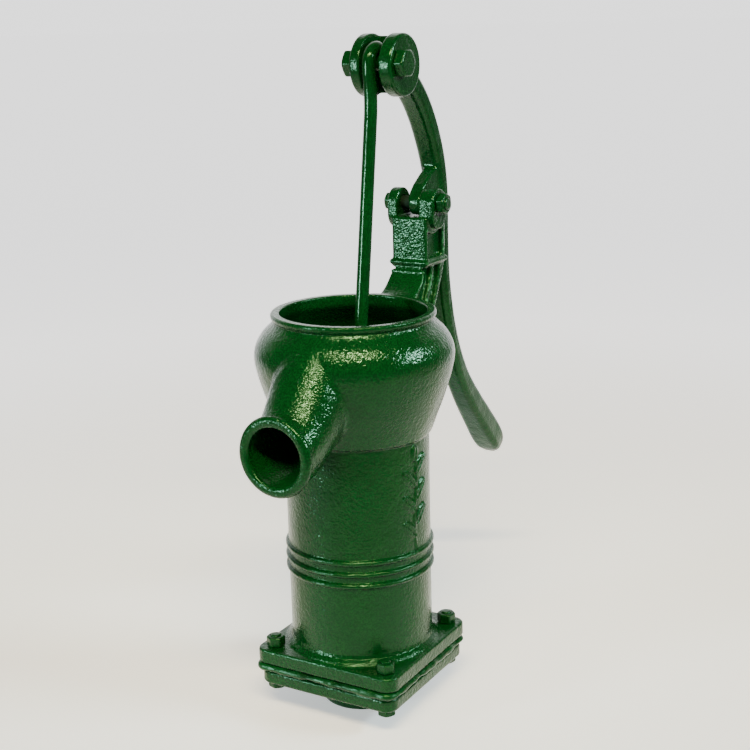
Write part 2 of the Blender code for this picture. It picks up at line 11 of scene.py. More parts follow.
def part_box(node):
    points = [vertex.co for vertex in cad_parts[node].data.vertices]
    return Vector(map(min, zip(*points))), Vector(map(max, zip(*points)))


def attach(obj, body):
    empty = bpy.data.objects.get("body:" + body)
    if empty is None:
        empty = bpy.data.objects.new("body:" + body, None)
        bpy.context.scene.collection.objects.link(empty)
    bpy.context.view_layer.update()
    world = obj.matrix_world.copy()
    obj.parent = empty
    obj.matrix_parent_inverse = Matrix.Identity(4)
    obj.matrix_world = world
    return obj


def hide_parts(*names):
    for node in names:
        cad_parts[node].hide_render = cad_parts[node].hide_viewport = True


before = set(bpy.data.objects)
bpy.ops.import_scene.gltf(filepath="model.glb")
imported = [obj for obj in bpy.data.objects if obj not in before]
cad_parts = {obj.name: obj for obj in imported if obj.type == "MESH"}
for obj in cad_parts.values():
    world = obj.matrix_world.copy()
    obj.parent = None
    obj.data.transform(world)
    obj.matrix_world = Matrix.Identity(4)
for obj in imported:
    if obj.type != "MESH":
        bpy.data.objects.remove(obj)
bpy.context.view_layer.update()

# ---- driving sizes, in metres, in the frame's own axes ---------------------------------------
GAP = 0.0003
BARREL_R = 0.055
BORE_R = 0.0475
BOWL_R = 0.075
RIM_R = 0.0549
LIP_R = 0.0617
RIM_TOP = 0.3106
RIB_HEIGHTS = (0.113, 0.122, 0.131)
RIB_R = 0.0574
RIB_HALF = 0.0023
RIB_STEPS = 8
BOWL_FOOT = 0.2185
PAST_AXIS = -0.02

BOSS_R = 0.033
BOSS_DEPTH = 0.021
INLET_R = 0.019
PLATE_HALF = 0.0614
BASE_HALF = 0.0594
PLATE_CORNER = 0.010
GASKET_PROUD = 0.0014
GASKET_WANDER = 0.00036
GASKET_HOLE_R = 0.030
BASE_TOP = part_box("base_casting")[1][2]
GASKET_LOW, GASKET_TOP = (corner[2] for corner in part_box("valve_gasket"))
FLANGE_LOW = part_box("pump_body")[0][2]
FLANGE_TOP = FLANGE_LOW + 0.0115

MOUTH_Y = -0.1124
MOUTH_Z = 0.2278
MOUTH_R = 0.0214
MOUTH_RING_R = 0.0254
MOUTH_RING_FLAT = 0.0006
MOUTH_RING_THICK = 0.0037
MOUTH_RING_DEEP = 0.0036
SEAM_RELIEF = 0.0007

SPRIG_Z = 0.174
SPRIG_ANGLES = (math.radians(-9), math.radians(-171))
SPRIG_RELIEF = 0.0015
SPRIG_REACH = 0.02
STEM_HALF = 0.0011
LEAVES = 7
LEAF_TURN = math.radians(42)
LEAF_PITCH = 0.0098
LEAF_HALF = 0.0050
VEIN_HALF = 0.0006

BOLT_PITCH = 0.049
BOLT_R = 0.004
BOLT_HOLE_R = 0.0046
BOLT_FLATS = 0.013
BOLT_HEAD = 0.0052
THREAD_GAP = 0.0002
HEX_EDGE = 0.0009
HEX_FACE_EDGE = 0.0010
HEX_CROWN_R = 0.49
HEX_CROWN_SLOPE = (0.55, 0.83)
HEX_CROWN_EDGE = 0.0008

PIVOT = Vector((0.0, 0.1003, 0.3774))
PIVOT_R = 0.0049
PIVOT_HEAD_FLATS = 0.0128
PIVOT_NUT_FLATS = 0.0152
EAR_LEFT = -0.0200
EAR_RIGHT = 0.0208
EAR_R = 0.0115
EAR_DROP = 0.0085
EAR_IN_LEFT = -0.0114
EAR_IN_RIGHT = 0.0079
BRACKET_HALF = 0.0155
BAND_HALF = 0.0175
SLOT_FLOOR = 0.3672
HUB_LEFT = -0.0018
HUB_RIGHT = 0.0074
HUB_R = 0.0097

HEAD = Vector((0.0, 0.0552, 0.4850))
HEAD_R = 0.0232
HEAD_HALF = 0.0178
HEAD_SLOT = (-0.0092, 0.0075)
HEAD_SLOT_FLOOR = 0.0640
PIN = Vector((0.0, 0.0458, 0.4867))
PIN_R = 0.0058
PIN_FLATS = 0.019

ROD_R = 0.0050
ROD_EYE = Vector((0.0, 0.0, 0.2202))
ROD_EYE_R = 0.0145
ROD_SIDE = -0.0018
DOME_SHARE = 0.6


# ---- solids as fields: negative inside, positive outside, close to the distance ---------------
def smooth_min(a, b, reach):
    share = np.clip(0.5 + 0.5 * (b - a) / reach, 0.0, 1.0)
    return b + (a - b) * share - reach * share * (1.0 - share)


def smooth_max(a, b, reach):
    return -smooth_min(-a, -b, reach)


def curve_through(points, steps):
    """A smooth curve through rows of numbers, with that many steps for each span."""
    rows = [np.array(point, float) for point in points]
    rows = [2 * rows[0] - rows[1]] + rows + [2 * rows[-1] - rows[-2]]
    curve = []
    for a, b, c, d in zip(rows, rows[1:], rows[2:], rows[3:]):
        for step in range(steps):
            t = step / steps
            curve.append(0.5 * (2 * b + (c - a) * t + (2 * a - 5 * b + 4 * c - d) * t ** 2
                                + (3 * b - a - 3 * c + d) * t ** 3))
    curve.append(rows[-2])
    return np.array(curve)


class Outline:
    """The signed distance to a closed outline, read off a fine grid."""

    def __init__(self, points, step=0.0004, margin=0.010):
        points = np.array([(p[0], p[1]) for p in points], float)
        self.low = points.min(0) - margin
        self.step = step
        count = ((points.max(0) + margin - self.low) / step).astype(int) + 2
        u, v = np.meshgrid(*(self.low[i] + step * np.arange(count[i]) for i in range(2)), indexing="ij")
        nearest = np.full(u.shape, 1.0)
        inside = np.zeros(u.shape, bool)
        for a, b in zip(points, np.roll(points, -1, 0)):
            edge = b - a
            along = np.clip(((u - a[0]) * edge[0] + (v - a[1]) * edge[1]) / max(edge @ edge, 1e-12), 0, 1)
            gap = (u - a[0] - along * edge[0]) ** 2 + (v - a[1] - along * edge[1]) ** 2
            nearest = np.minimum(nearest, gap)
            if a[1] != b[1]:
                crossing = (b[0] - a[0]) * (v - a[1]) / (b[1] - a[1]) + a[0]
                inside ^= ((a[1] > v) != (b[1] > v)) & (u < crossing)
        self.table = np.where(inside, -1.0, 1.0) * np.sqrt(nearest)

    def __call__(self, u, v):
        return lookup(self.table, self.low, self.step, u, v)


def lookup(table, low, step, u, v):
    """The table between its grid points, and a rising value outside it."""
    i = (u - low[0]) / step
    j = (v - low[1]) / step
    i_in = np.clip(i, 0, table.shape[0] - 1.001)
    j_in = np.clip(j, 0, table.shape[1] - 1.001)
    i0 = i_in.astype(int)
    j0 = j_in.astype(int)
    s = i_in - i0
    t = j_in - j0
    value = ((table[i0, j0] * (1 - s) + table[i0 + 1, j0] * s) * (1 - t)
             + (table[i0, j0 + 1] * (1 - s) + table[i0 + 1, j0 + 1] * s) * t)
    return value + step * (np.abs(i - i_in) + np.abs(j - j_in))


def slab(a, low, high):
    """Between two planes."""
    return np.abs(a - (low + high) / 2) - (high - low) / 2


def block(x, y, z, low, high, edge):
    """A box with rounded edges."""
    f = smooth_max(slab(x, low[0], high[0]), slab(y, low[1], high[1]), edge)
    return smooth_max(f, slab(z, low[2], high[2]), edge)


def round_plate(x, y, z, half, corner, low, high, edge):
    """A square plate with round corners and softened edges."""
    u = np.maximum(np.abs(x) - half + corner, 0)
    v = np.maximum(np.abs(y) - half + corner, 0)
    inner = np.minimum(np.maximum(np.abs(x), np.abs(y)) - half + corner, 0)
    return smooth_max(np.hypot(u, v) + inner - corner, slab(z, low, high), edge)


def rod_x(x, y, z, radius, low, high, centre, edge=0.0008):
    """A cylinder along X."""
    return smooth_max(np.hypot(y - centre.y, z - centre.z) - radius, slab(x, low, high), edge)


def rod_z(x, y, z, radius, low, high, centre, edge=0.0008):
    """A cylinder along Z."""
    return smooth_max(np.hypot(x - centre[0], y - centre[1]) - radius, slab(z, low, high), edge)


def hexagon(u, v, along, flats, low, high, turn=0.0, crowned=True):
    """A hexagon head or nut whose corners are turned off at its outer end, with paint-filled edges."""
    f = -1.0
    for k in range(3):
        angle = turn + k * math.pi / 3
        f = smooth_max(f, np.abs(u * math.cos(angle) + v * math.sin(angle)) - flats / 2, HEX_EDGE)
    f = smooth_max(f, slab(along, low, high), HEX_FACE_EDGE)
    if crowned:
        outwards = (np.hypot(u, v) - flats * HEX_CROWN_R) * HEX_CROWN_SLOPE[0]
        f = smooth_max(f, outwards + (along - high) * HEX_CROWN_SLOPE[1], HEX_CROWN_EDGE)
    return f


# ---- from a field to a mesh --------------------------------------------------------------------
def skin(field, low, high, cell):
    """Points and four-sided faces of the surface where the field is zero."""
    axes = [np.arange(low[i] - cell[i], high[i] + 2 * cell[i], cell[i]) for i in range(3)]
    grid = np.meshgrid(*axes, indexing="ij")
    values = field(*grid)
    inside = values < 0
    size = np.array(values.shape) - 1
    corners = [(a, b, c) for a in (0, 1) for b in (0, 1) for c in (0, 1)]
    count = sum(inside[a:a + size[0], b:b + size[1], c:c + size[2]].astype(np.int8) for a, b, c in corners)
    cells = np.argwhere((count > 0) & (count < 8))
    number = np.full(tuple(size), -1, np.int64)
    number[tuple(cells.T)] = np.arange(len(cells))
    at_corner = {c: values[tuple((cells + c).T)] for c in corners}
    total = np.zeros((len(cells), 3))
    crossings = np.zeros(len(cells))
    for a in corners:
        for axis in range(3):
            if a[axis]:
                continue
            b = tuple(a[i] + (i == axis) for i in range(3))
            va, vb = at_corner[a], at_corner[b]
            cut = (va < 0) != (vb < 0)
            share = np.where(cut, va / np.where(cut, va - vb, 1.0), 0.0)
            for i in range(3):
                total[:, i] += np.where(cut, a[i] + (share if i == axis else 0.0), 0.0)
            crossings += cut
    start = np.array([axes[i][0] for i in range(3)])
    points = start + (cells + total / crossings[:, None]) * cell
    faces = []
    for axis in range(3):
        one, two = (axis + 1) % 3, (axis + 2) % 3
        here = [slice(1, -1)] * 3
        here[axis] = slice(0, -1)
        there = list(here)
        there[axis] = slice(1, None)
        a, b = inside[tuple(here)], inside[tuple(there)]
        edges = np.argwhere(a != b)
        offset = np.ones(3, int)
        offset[axis] = 0
        edges_at = edges + offset
        falling = a[tuple(edges.T)]
        quad = []
        for du, dv in ((-1, -1), (0, -1), (0, 0), (-1, 0)):
            place = edges_at.copy()
            place[:, one] += du
            place[:, two] += dv
            quad.append(number[tuple(place.T)])
        quad = np.stack(quad, 1)
        faces.append(np.where(falling[:, None], quad, quad[:, ::-1]))
    return points, np.concatenate(faces)


def slope(field, points, step=0.00012):
    """The field's gradient at each point."""
    gradient = np.empty_like(points)
    for i in range(3):
        ahead = points.copy()
        back = points.copy()
        ahead[:, i] += step
        back[:, i] -= step
        gradient[:, i] = (field(*ahead.T) - field(*back.T)) / (2 * step)
    return gradient


def cast(name, field, low, high, cell, settle=3):
    """A mesh object of the field's surface, with its points brought onto the surface."""
    cell = np.array(cell if isinstance(cell, tuple) else (cell,) * 3, float)
    points, faces = skin(field, low, high, cell)
    for _ in range(settle):
        gradient = slope(field, points)
        steep = np.maximum((gradient ** 2).sum(1), 0.25)
        move = -(field(*points.T) / steep)[:, None] * gradient
        reach = np.linalg.norm(move, axis=1, keepdims=True)
        points = points + move * np.minimum(1.0, 0.4 * cell.min() / np.maximum(reach, 1e-9))
    gradient = slope(field, points)
    normals = gradient / np.maximum(np.linalg.norm(gradient, axis=1, keepdims=True), 1e-9)
    return mesh_object(name, points, faces, normals)


def mesh_object(name, points, faces, normals=None):
    mesh = bpy.data.meshes.new(name)
    mesh.vertices.add(len(points))
    mesh.vertices.foreach_set("co", np.asarray(points, np.float32).ravel())
    corners = faces.shape[1]
    mesh.loops.add(faces.size)
    mesh.loops.foreach_set("vertex_index", faces.astype(np.int32).ravel())
    mesh.polygons.add(len(faces))
    mesh.polygons.foreach_set("loop_start", np.arange(0, faces.size, corners, dtype=np.int32))
    mesh.update(calc_edges=True)
    mesh.validate()
    mesh.polygons.foreach_set("use_smooth", np.ones(len(mesh.polygons), bool))
    if normals is not None and len(normals) == len(mesh.vertices):
        mesh.normals_split_custom_set_from_vertices(normals.astype(np.float32))
    obj = bpy.data.objects.new(name, mesh)
    bpy.context.scene.collection.objects.link(obj)
    return obj


# ---- the camera's place ------------------------------------------------------------------------
CAMERA_AT = Vector((0.51658, -0.84723, 0.52163))
CAMERA_TURN = math.radians(30.510)
CAMERA_DIP = math.radians(14.770)
CAMERA_ROLL = math.radians(-1.445)
CAMERA_LENS = 65.654
AHEAD = (-math.sin(CAMERA_TURN), math.cos(CAMERA_TURN), 0.0)
ASIDE = (math.cos(CAMERA_TURN), math.sin(CAMERA_TURN), 0.0)


# ---- the pump body -----------------------------------------------------------------------------
def body_outline():
    """Outer (radius, height) outline of the barrel and the bowl, closed across the axis."""
    outline = [(PAST_AXIS, FLANGE_LOW), (BARREL_R, FLANGE_LOW), (BARREL_R + 0.0044, FLANGE_TOP - 0.001)]
    outline += [(BARREL_R + 0.0036, FLANGE_TOP + 0.0022), (BARREL_R + 0.0009, FLANGE_TOP + 0.0045),
                (BARREL_R, FLANGE_TOP + 0.0075)]
    for height in RIB_HEIGHTS:
        for step in range(RIB_STEPS + 1):
            angle = math.pi * (step / RIB_STEPS - 0.5)
            radius = BARREL_R + (RIB_R - BARREL_R) * math.cos(angle)
            outline.append((radius, height + RIB_HALF * math.sin(angle)))
    bowl = [(0.0575, BOWL_FOOT + 0.001), (0.0617, 0.2310), (0.0677, 0.2475), (0.0725, 0.2635),
            (BOWL_R, 0.2770), (0.0734, 0.2865), (0.0685, 0.2950), (0.0620, 0.3015), (0.0600, 0.3045)]
    outline += [(BARREL_R, BOWL_FOOT - 0.0015)]
    outline += list(curve_through(bowl, 8))
    outline += [(LIP_R - 0.0004, 0.3066), (LIP_R, 0.3078), (LIP_R, 0.3094), (LIP_R - 0.0012, RIM_TOP)]
    return outline + [(PAST_AXIS, RIM_TOP)]


def cavity_outline():
    """(radius, height) outline of the bore and the inside of the bowl."""
    bowl = [(BORE_R, 0.2235), (0.0532, 0.2290), (0.0598, 0.2410), (0.0650, 0.2580),
            (0.0684, 0.2750), (0.0660, 0.2860), (0.0600, 0.2955), (0.0556, 0.3020), (RIM_R, 0.3075)]
    low, high = FLANGE_LOW - 0.006, RIM_TOP + 0.006
    inner = [(PAST_AXIS, low), (BORE_R, low)] + list(curve_through(bowl, 6))
    return inner + [(RIM_R, high), (PAST_AXIS, high)]


def bracket_outline():
    """Side outline (y, z) of the fulcrum bracket below its ears."""
    front = curve_through([(0.0560, 0.3075), (0.0680, 0.3103), (0.0775, 0.3165),
                           (0.0842, 0.3240), (0.0872, 0.3320)], 6)
    back = curve_through([(0.1195, 0.3420), (0.1185, 0.3310), (0.1130, 0.3160), (0.1020, 0.2960),
                          (0.0880, 0.2760), (0.0740, 0.2600), (0.0620, 0.2500)], 6)
    top = [(0.0872, 0.3655), (0.0905, 0.3690), (0.1195, 0.3690)]
    return list(front) + top + list(back) + [(0.0560, 0.2500)]


def ear_outline():
    """Side outline (y, z) of an ear: a boss with a round top and a round foot."""
    points = []
    for centre, start in ((PIVOT.z, math.pi), (PIVOT.z - EAR_DROP, 0.0)):
        for step in range(25):
            angle = start - math.pi * step / 24
            points.append((PIVOT.y + EAR_R * math.cos(angle), centre + EAR_R * math.sin(angle)))
    return points


def flute_outline(front, back):
    return list(curve_through(front, 6)) + list(curve_through(back, 6))[::-1]


NECK_START = -0.0450
NECK = [(NECK_START, 0.2640, 0.0300, 0.0360), (-0.0600, 0.2570, 0.0300, 0.0390),
        (-0.0748, 0.2478, 0.0285, 0.0407), (-0.0850, 0.2383, 0.0270, 0.0362),
        (-0.0950, 0.2312, 0.0257, 0.0300), (-0.1020, 0.2284, 0.0250, 0.0262),
        (-0.1060, MOUTH_Z, 0.0252, 0.0252), (MOUTH_Y, MOUTH_Z, 0.0256, 0.0256)]
WATER_WAY = [(-0.0400, 0.2780, 0.0215, 0.0320), (-0.0600, 0.2600, 0.0215, 0.0320),
             (-0.0748, 0.2475, 0.0213, 0.0305), (-0.0850, 0.2385, 0.0210, 0.0275),
             (-0.0950, 0.2318, 0.0208, 0.0232), (-0.1040, 0.2283, 0.0209, 0.0212),
             (-0.1090, MOUTH_Z, MOUTH_R, MOUTH_R), (MOUTH_Y - 0.0100, MOUTH_Z, MOUTH_R, MOUTH_R)]


def neck_field(stations, x, y, z, low, high):
    """A tube along -Y of upright ellipses, from (y, centre height, half width, half height) stations."""
    rows = curve_through(stations, 8)[::-1]
    centre, half_x, half_z = (np.interp(y, rows[:, 0], rows[:, i]) for i in (1, 2, 3))
    u, v = x / half_x, (z - centre) / half_z
    reach = np.hypot(u, v)
    f = reach * (reach - 1.0) / np.maximum(np.hypot(u / half_x, v / half_z), 1e-6)
    return np.maximum(f, slab(y, low, high))


def lip_field(x, y, z):
    """The rolled ring round the spout's mouth."""
    radius = np.hypot(x, z - MOUTH_Z)
    u = np.maximum(np.abs(radius - MOUTH_RING_R) - MOUTH_RING_FLAT, 0) / MOUTH_RING_THICK
    v = (y - MOUTH_Y - MOUTH_RING_DEEP) / MOUTH_RING_DEEP
    return (np.hypot(u, v) - 1.0) * MOUTH_RING_DEEP


def sprig(s, z):
    """How high a plain sprig of leaves stands, at most 1, over a flat (sideways, upright) place."""
    height = np.exp(-((s - 0.0014 * np.sin(z / 0.012)) / STEM_HALF) ** 2) * (np.abs(z) < 0.040)
    for k in range(LEAVES):
        side = 1 if k % 2 else -1
        tip = k == LEAVES - 1
        turn = 0.0 if tip else side * LEAF_TURN
        half = 0.62 * (0.0100 if tip else 0.0150)
        above = z + 0.030 - LEAF_PITCH * k
        along = s * math.sin(turn) + above * math.cos(turn) - half
        across = s * math.cos(turn) - above * math.sin(turn)
        width = LEAF_HALF * np.sqrt(np.clip(1 - (along / half) ** 2, 0, 1)) + 1e-5
        vein = 0.55 * np.exp(-(across / VEIN_HALF) ** 2)
        leaf = np.clip(1.35 * (1 - (across / width) ** 2), 0, 1) - vein
        height = np.maximum(height, np.clip(leaf, 0, 1) * (np.abs(along) < half))
    return np.clip(height, 0, 1)


def make_body_field():
    outside = Outline(body_outline())
    inside = Outline(cavity_outline())
    bracket = Outline(bracket_outline())
    ear = Outline(ear_outline())
    flutes = [Outline(flute_outline([(0.0870, 0.3275), (0.0815, 0.3170), (0.0690, 0.3050)],
                                    [(0.0950, 0.3275), (0.0925, 0.3170), (0.0840, 0.3000)])),
              Outline(flute_outline([(0.1000, 0.3275), (0.0970, 0.3150), (0.0870, 0.2960)],
                                    [(0.1085, 0.3275), (0.1065, 0.3160), (0.0975, 0.2960)]))]

    def field(x, y, z):
        radius = np.hypot(x, y)
        f = outside(radius, z)
        angle = np.arctan2(y, x)
        for middle in SPRIG_ANGLES:
            around = (np.mod(angle - middle + math.pi, 2 * math.pi) - math.pi) * BARREL_R
            leafy = sprig(around, z - SPRIG_Z) * (np.abs(around) < SPRIG_REACH)
            f = f - SPRIG_RELIEF * leafy * (radius > BORE_R + 0.0025)
        flange = round_plate(x, y, z, PLATE_HALF, PLATE_CORNER, FLANGE_LOW, FLANGE_TOP, 0.0022)
        f = smooth_min(f, flange, 0.0025)
        neck = neck_field(NECK, x, y, z, MOUTH_Y + 0.002, NECK_START)
        neck = smooth_min(neck, lip_field(x, y, z), 0.0022)
        seam = np.exp(-((f - neck) / 0.0014) ** 2) * np.interp(z, (0.2440, 0.2520), (0.0, SEAM_RELIEF))
        f = smooth_min(f, neck, np.interp(z, (0.2380, 0.2560), (0.0045, 0.0010))) - seam
        arm = smooth_max(bracket(y, z), slab(x, -BRACKET_HALF, BRACKET_HALF), 0.0022)
        f = smooth_min(f, arm, 0.0050)
        ears = smooth_max(ear(y, z), slab(x, EAR_LEFT, EAR_RIGHT), 0.0014)
        f = smooth_min(f, ears, 0.0022)
        band = block(x, y, z, (-BAND_HALF, 0.0851, 0.3294), (BAND_HALF, 0.1203, 0.3334), 0.0022)
        f = smooth_min(f, band, 0.0016)
        crease_half = BRACKET_HALF - 0.0004
        crease = block(x, y, z, (-crease_half, 0.0840, 0.3236), (crease_half, 0.100, 0.3252), 0.0008)
        f = smooth_min(f, crease, 0.0012)
        f = smooth_max(f, -inside(radius, z), 0.0014)
        f = smooth_max(f, -neck_field(WATER_WAY, x, y, z, MOUTH_Y - 0.010, -0.040), 0.0012)
        slot = block(x, y, z, (EAR_IN_LEFT, 0.07, SLOT_FLOOR), (EAR_IN_RIGHT, 0.14, 0.40), 0.0016)
        f = smooth_max(f, -slot, 0.0012)
        f = smooth_max(f, -rod_x(x, y, z, PIVOT_R + GAP, -0.03, 0.03, PIVOT), 0.0004)
        side = np.abs(x)
        pocket = block(side, y, z, (0.0112, 0.0908, 0.3346), (0.03, 0.1142, 0.3560), 0.0022)
        scallop = EAR_R + 0.0042 - np.hypot(y - PIVOT.y, z - PIVOT.z + EAR_DROP)
        f = smooth_max(f, -smooth_max(pocket, scallop, 0.0016), 0.0016)
        for flute in flutes:
            f = smooth_max(f, -smooth_max(flute(y, z), slab(side, 0.0112, 0.03), 0.0018), 0.0018)
        for place in bolt_places():
            hole = rod_z(x, y, z, BOLT_HOLE_R, FLANGE_LOW - 0.01, FLANGE_TOP + 0.01, place)
            f = smooth_max(f, -hole, 0.0004)
        return f

    return field


def bolt_places():
    return [(-BOLT_PITCH, -BOLT_PITCH), (BOLT_PITCH, -BOLT_PITCH),
            (BOLT_PITCH, BOLT_PITCH), (-BOLT_PITCH, BOLT_PITCH)]


# ---- base, gasket and fasteners ----------------------------------------------------------------
def base_field(x, y, z):
    radius = np.hypot(x, y)
    f = round_plate(x, y, z, BASE_HALF, PLATE_CORNER, BOSS_DEPTH, BASE_TOP, 0.0026)
    boss = smooth_max(radius - BOSS_R, slab(z, 0.0, BASE_TOP - 0.004), 0.0026)
    f = smooth_min(f, boss, 0.0055)
    f = smooth_max(f, INLET_R - radius, 0.0018)
    for place in bolt_places():
        hole = rod_z(x, y, z, BOLT_HOLE_R, 0.0, BASE_TOP + 0.01, place)
        f = smooth_max(f, -hole, 0.0004)
    return f


def gasket_field(x, y, z):
    """A pressed leather sheet whose trimmed edge bulges and wanders a little."""
    angle = np.arctan2(y, x)
    wander = np.sin(5 * angle + 0.7) + 0.7 * np.sin(13 * angle + 2.1) + 0.5 * np.sin(29 * angle)
    half = PLATE_HALF + GASKET_PROUD - 0.0006
    f = round_plate(x, y, z, half, PLATE_CORNER, GASKET_LOW, GASKET_TOP, 0.0046) - GASKET_WANDER * wander
    f = np.maximum(f, slab(z, GASKET_LOW, GASKET_TOP))
    f = smooth_max(f, GASKET_HOLE_R - np.hypot(x, y), 0.0010)
    for sx, sy in bolt_places():
        f = smooth_max(f, BOLT_HOLE_R - np.hypot(x - sx, y - sy), 0.0004)
    return f


def flange_fasteners():
    """The four bolts, heads down, and their nuts."""
    made = []
    head_top = BOSS_DEPTH - GAP
    for i, (sx, sy) in enumerate(bolt_places()):
        nut_low, nut_high = (corner[2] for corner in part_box("flange_nut_%d" % (i + 1)))
        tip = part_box("flange_bolt_%d" % (i + 1))[1][2]
        turn = math.radians(12 + 17 * i)

        def bolt_field(x, y, z, sx=sx, sy=sy, tip=tip, turn=turn):
            head = hexagon(x - sx, y - sy, -z, BOLT_FLATS, -head_top, BOLT_HEAD - head_top, turn)
            return smooth_min(head, rod_z(x, y, z, BOLT_R, head_top - 0.002, tip, (sx, sy), 0.0016), 0.0004)

        def nut_field(x, y, z, sx=sx, sy=sy, low=nut_low, high=nut_high, turn=math.radians(25 * i)):
            nut = hexagon(x - sx, y - sy, z, BOLT_FLATS, low, high, turn)
            return smooth_max(nut, BOLT_R + THREAD_GAP - np.hypot(x - sx, y - sy), 0.0005)

        reach = 0.0080
        bolt = cast("flange_bolt_%d_painted" % (i + 1), bolt_field,
                    (sx - reach, sy - reach, head_top - BOLT_HEAD), (sx + reach, sy + reach, tip), 0.00055)
        nut = cast("flange_nut_%d_painted" % (i + 1), nut_field,
                   (sx - reach, sy - reach, nut_low), (sx + reach, sy + reach, nut_high), 0.0005)
        made += [(bolt, "flange_bolt_%d" % (i + 1)), (nut, "flange_nut_%d" % (i + 1))]
    return made


def cross_fasteners():
    """The fulcrum bolt and nut and the head pin and its nut, all along X."""
    made = []
    head_face = -EAR_LEFT + GAP
    nut_face = EAR_RIGHT + GAP
    nut_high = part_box("fulcrum_nut")[1][0]
    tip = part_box("fulcrum_bolt")[1][0]
    head_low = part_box("fulcrum_bolt")[0][0]

    def fulcrum_bolt(x, y, z):
        head = hexagon(y - PIVOT.y, z - PIVOT.z, -x, PIVOT_HEAD_FLATS, head_face, -head_low, 0.3)
        return smooth_min(head, rod_x(x, y, z, PIVOT_R, -head_face - 0.002, tip, PIVOT, 0.0016), 0.0004)

    def fulcrum_nut(x, y, z):
        nut = hexagon(y - PIVOT.y, z - PIVOT.z, x, PIVOT_NUT_FLATS, nut_face, nut_high, math.radians(10))
        return smooth_max(nut, PIVOT_R + THREAD_GAP - np.hypot(y - PIVOT.y, z - PIVOT.z), 0.0005)

    pin_face = HEAD_HALF + GAP
    pin_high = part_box("head_bolt")[1][0]
    pin_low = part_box("head_bolt")[0][0]
    pin_nut_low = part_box("head_nut")[0][0]

    def head_bolt(x, y, z):
        head = hexagon(y - PIN.y, z - PIN.z, x, PIN_FLATS, pin_face, pin_high, math.pi / 2)
        return smooth_min(head, rod_x(x, y, z, PIN_R, pin_low, pin_face + 0.002, PIN, 0.0016), 0.0006)

    def head_nut(x, y, z):
        nut = hexagon(y - PIN.y, z - PIN.z, -x, PIN_FLATS, pin_face, -pin_nut_low, math.pi / 2)
        return smooth_max(nut, PIN_R + THREAD_GAP - np.hypot(y - PIN.y, z - PIN.z), 0.0005)

    for field in (fulcrum_bolt, fulcrum_nut, head_bolt, head_nut):
        name = field.__name__
        low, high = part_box(name)
        made.append((cast(name + "_painted", field, tuple(low), tuple(high), 0.0006), name))
    return made


# ---- handle and rod ----------------------------------------------------------------------------
HANDLE_STATIONS = [
    (0.0680, 0.4850, 0.0092, 0.0090), (0.0860, 0.4715, 0.0094, 0.0088), (0.1014, 0.4566, 0.0096, 0.0084),
    (0.1130, 0.4405, 0.0096, 0.0082), (0.1217, 0.4242, 0.0096, 0.0080), (0.1283, 0.4078, 0.0094, 0.0078),
    (0.1328, 0.3890, 0.0092, 0.0074), (0.1346, 0.3660, 0.0090, 0.0070), (0.1348, 0.3410, 0.0090, 0.0070),
    (0.1360, 0.3160, 0.0090, 0.0070), (0.1398, 0.2930, 0.0090, 0.0070), (0.1462, 0.2680, 0.0090, 0.0071),
    (0.1562, 0.2430, 0.0090, 0.0074), (0.1695, 0.2185, 0.0094, 0.0082), (0.1871, 0.1955, 0.0102, 0.0094),
    (0.2062, 0.1740, 0.0112, 0.0102), (0.2205, 0.1580, 0.0120, 0.0106), (0.2293, 0.1480, 0.0122, 0.0101),
    (0.2345, 0.1414, 0.0110, 0.0088), (0.2374, 0.1365, 0.0082, 0.0064), (0.2388, 0.1342, 0.0042, 0.0032)]


class Bar:
    """A bent bar in the plane x = 0, as a distance off its centre line and its half sizes at each place."""

    def __init__(self, stations, step=0.0008, margin=0.016):
        rows = curve_through(stations, 8)
        self.low = rows[:, :2].min(0) - margin
        self.step = step
        count = ((rows[:, :2].max(0) + margin - self.low) / step).astype(int) + 2
        y, z = np.meshgrid(*(self.low[i] + step * np.arange(count[i]) for i in range(2)), indexing="ij")
        nearest = np.full(y.shape, 1.0)
        self.half_x = np.zeros(y.shape)
        self.half_n = np.zeros(y.shape)
        for a, b in zip(rows, rows[1:]):
            edge = b[:2] - a[:2]
            along = np.clip(((y - a[0]) * edge[0] + (z - a[1]) * edge[1]) / (edge @ edge), 0, 1)
            gap = (y - a[0] - along * edge[0]) ** 2 + (z - a[1] - along * edge[1]) ** 2
            closer = gap < nearest
            nearest = np.where(closer, gap, nearest)
            self.half_x = np.where(closer, a[2] + along * (b[2] - a[2]), self.half_x)
            self.half_n = np.where(closer, a[3] + along * (b[3] - a[3]), self.half_n)
        self.off = np.sqrt(nearest)

    def __call__(self, x, y, z, corner):
        off = lookup(self.off, self.low, self.step, y, z)
        half_x = np.maximum(lookup(self.half_x, self.low, self.step, y, z), 0.002)
        half_n = np.maximum(lookup(self.half_n, self.low, self.step, y, z), 0.002)
        corner = np.minimum(corner, 0.98 * np.minimum(half_x, half_n))
        u = np.abs(x) - half_x + corner
        v = off - half_n + corner
        return np.hypot(np.maximum(u, 0), np.maximum(v, 0)) + np.minimum(np.maximum(u, v), 0) - corner


